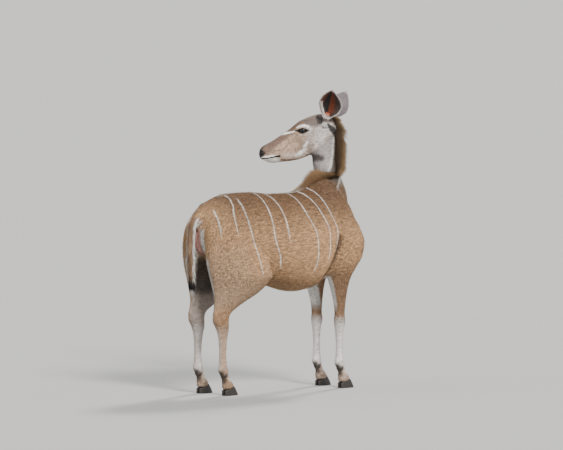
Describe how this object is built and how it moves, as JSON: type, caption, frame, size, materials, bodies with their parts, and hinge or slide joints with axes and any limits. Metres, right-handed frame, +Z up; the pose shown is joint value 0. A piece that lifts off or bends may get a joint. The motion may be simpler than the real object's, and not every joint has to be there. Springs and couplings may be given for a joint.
{
  "type": "greater kudu",
  "caption": "Standing hornless female greater kudu, life size, head turned back over its left side, with cupped ears, a nape mane and a hanging tail.",
  "frame": {"origin": "on the floor, below the middle of the whole animal's box", "axes": "+Z up, the trunk heads along +X, +Y is the animal's left"},
  "size_m": [1.2898, 0.6448, 1.754],
  "materials": {
    "body_coat": "short grey-brown coat with thin white stripes, matt",
    "neck_coat": "short pale grey coat, matt",
    "leg_coat": "very short tan to white coat, matt",
    "ear_coat": "short grey hair outside, rust brown inside, matt",
    "tail_hair": "longer brown hair with a white fringe and a black tip",
    "hoof": "dark horn, slightly satin",
    "eye": "wet black-brown"
  },
  "bodies": {
    "root": {"front_left_cannon": "leg_coat", "front_left_foot": "leg_coat", "front_left_forearm": "leg_coat", "front_left_hoof_inner": "hoof", "front_left_hoof_outer": "hoof", "front_right_cannon": "leg_coat", "front_right_foot": "leg_coat", "front_right_forearm": "leg_coat", "front_right_hoof_inner": "hoof", "front_right_hoof_outer": "hoof", "head": "neck_coat", "hind_left_cannon": "leg_coat", "hind_left_foot": "leg_coat", "hind_left_gaskin": "leg_coat", "hind_left_hoof_inner": "hoof", "hind_left_hoof_outer": "hoof", "hind_right_cannon": "leg_coat", "hind_right_foot": "leg_coat", "hind_right_gaskin": "leg_coat", "hind_right_hoof_inner": "hoof", "hind_right_hoof_outer": "hoof", "left_ear": "ear_coat", "left_eye": "eye", "neck": "neck_coat", "right_ear": "ear_coat", "right_eye": "eye", "tail": "tail_hair", "torso": "body_coat"}
  },
  "joints": []
}
